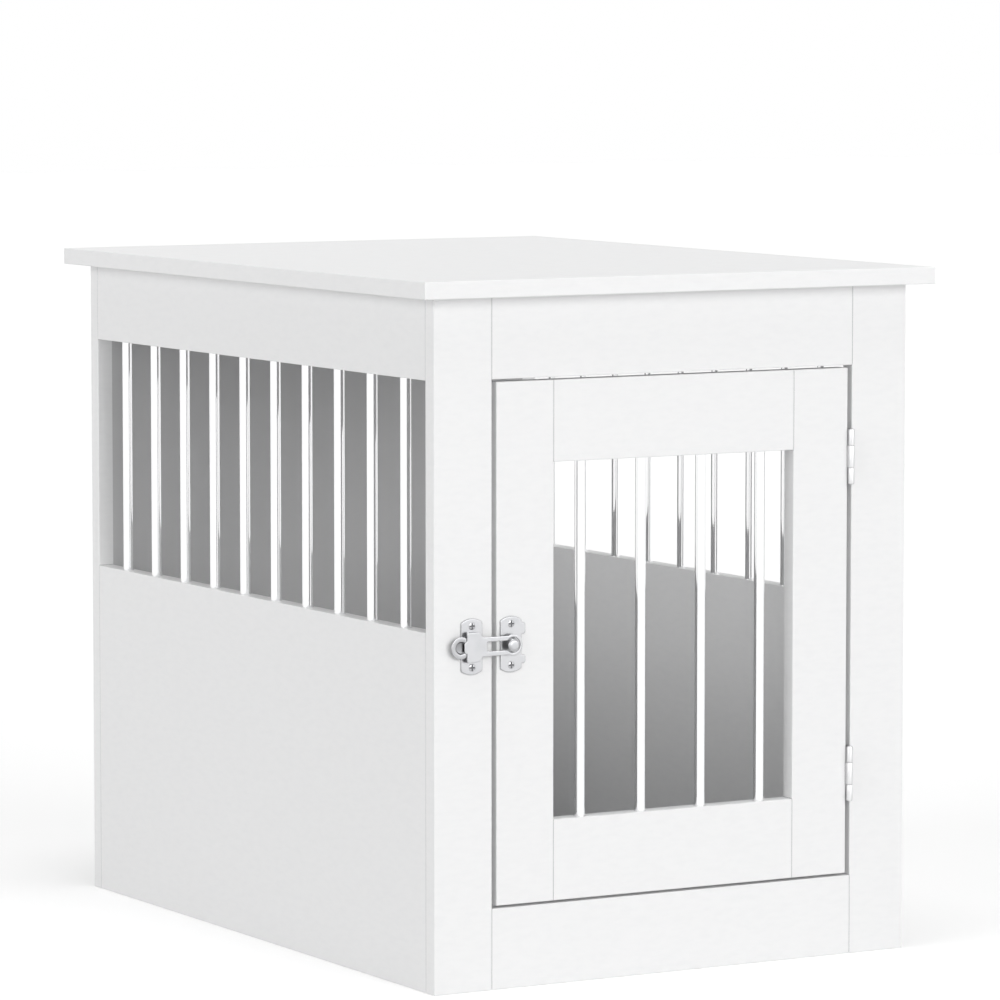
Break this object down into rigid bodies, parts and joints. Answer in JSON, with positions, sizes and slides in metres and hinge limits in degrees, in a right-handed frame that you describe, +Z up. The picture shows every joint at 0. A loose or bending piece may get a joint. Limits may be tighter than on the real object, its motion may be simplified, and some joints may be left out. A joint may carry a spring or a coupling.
{
  "type": "dog crate end table",
  "caption": "Boarded dog crate under an overhanging tabletop, with upright bars in the side windows and in a front door that swings on butt hinges and closes with a spring latch.",
  "frame": {"origin": "centre of the tabletop's outline, on the floor", "axes": "+X right along the front, the door faces -Y, +Z up"},
  "size_m": [0.55, 0.75, 0.65],
  "materials": {
    "white_board": "white melamine-faced board, satin",
    "chrome_bar": "chrome-plated steel bar, polished",
    "cam_zinc": "bare die-cast zinc, dull",
    "bolt_steel": "zinc-plated steel",
    "dowel_wood": "plain beech dowel",
    "hinge_nickel": "nickel-plated steel, bright",
    "screw_nickel": "nickel-plated steel screw",
    "latch_nickel": "nickel-plated pressed steel, bright",
    "spring_steel": "spring wire"
  },
  "bodies": {
    "crate": {"tabletop": "white_board", "front_left_stile": "white_board", "front_right_stile": "white_board", "front_top_rail": "white_board", "front_bottom_rail": "white_board", "left_upper_board": "white_board", "left_lower_board": "white_board", "right_upper_board": "white_board", "right_lower_board": "white_board", "back_panel": "white_board", "floor_panel": "white_board", "left_side_bars": "chrome_bar", "right_side_bars": "chrome_bar", "top_cam_locks": "cam_zinc", "top_cam_bolts": "bolt_steel", "side_cam_locks": "cam_zinc", "side_cam_bolts": "bolt_steel", "side_dowels": "dowel_wood", "top_dowels": "dowel_wood", "floor_dowels": "dowel_wood", "front_frame_dowels": "dowel_wood", "upper_hinge_frame_leaf": "hinge_nickel", "lower_hinge_frame_leaf": "hinge_nickel", "upper_hinge_pin": "hinge_nickel", "lower_hinge_pin": "hinge_nickel", "hinge_frame_screws": "screw_nickel", "latch_base": "latch_nickel", "latch_base_screws": "screw_nickel", "latch_pin": "latch_nickel"},
    "door": {"door_left_stile": "white_board", "door_right_stile": "white_board", "door_top_rail": "white_board", "door_bottom_rail": "white_board", "door_bars": "chrome_bar", "door_dowels": "dowel_wood", "upper_hinge_door_leaf": "hinge_nickel", "lower_hinge_door_leaf": "hinge_nickel", "hinge_door_screws": "screw_nickel", "keeper_plate": "latch_nickel", "keeper_stud": "latch_nickel", "keeper_screws": "screw_nickel"},
    "lever": {"latch_lever": "latch_nickel", "latch_spring": "spring_steel"}
  },
  "joints": [
    {"name": "door_swing", "type": "hinge", "parent": "crate", "child": "door", "pos_m": [0.1925, -0.358, 0.317], "axis": [0, 0, 1], "range_deg": [0, 180]},
    {"name": "latch_press", "type": "hinge", "parent": "crate", "child": "lever", "pos_m": [-0.222, -0.3586, 0.317], "axis": [0, 0, -1], "range_deg": [0, 12], "stiffness_Nm_per_rad": 0.15, "springref_deg": -14.32}
  ]
}
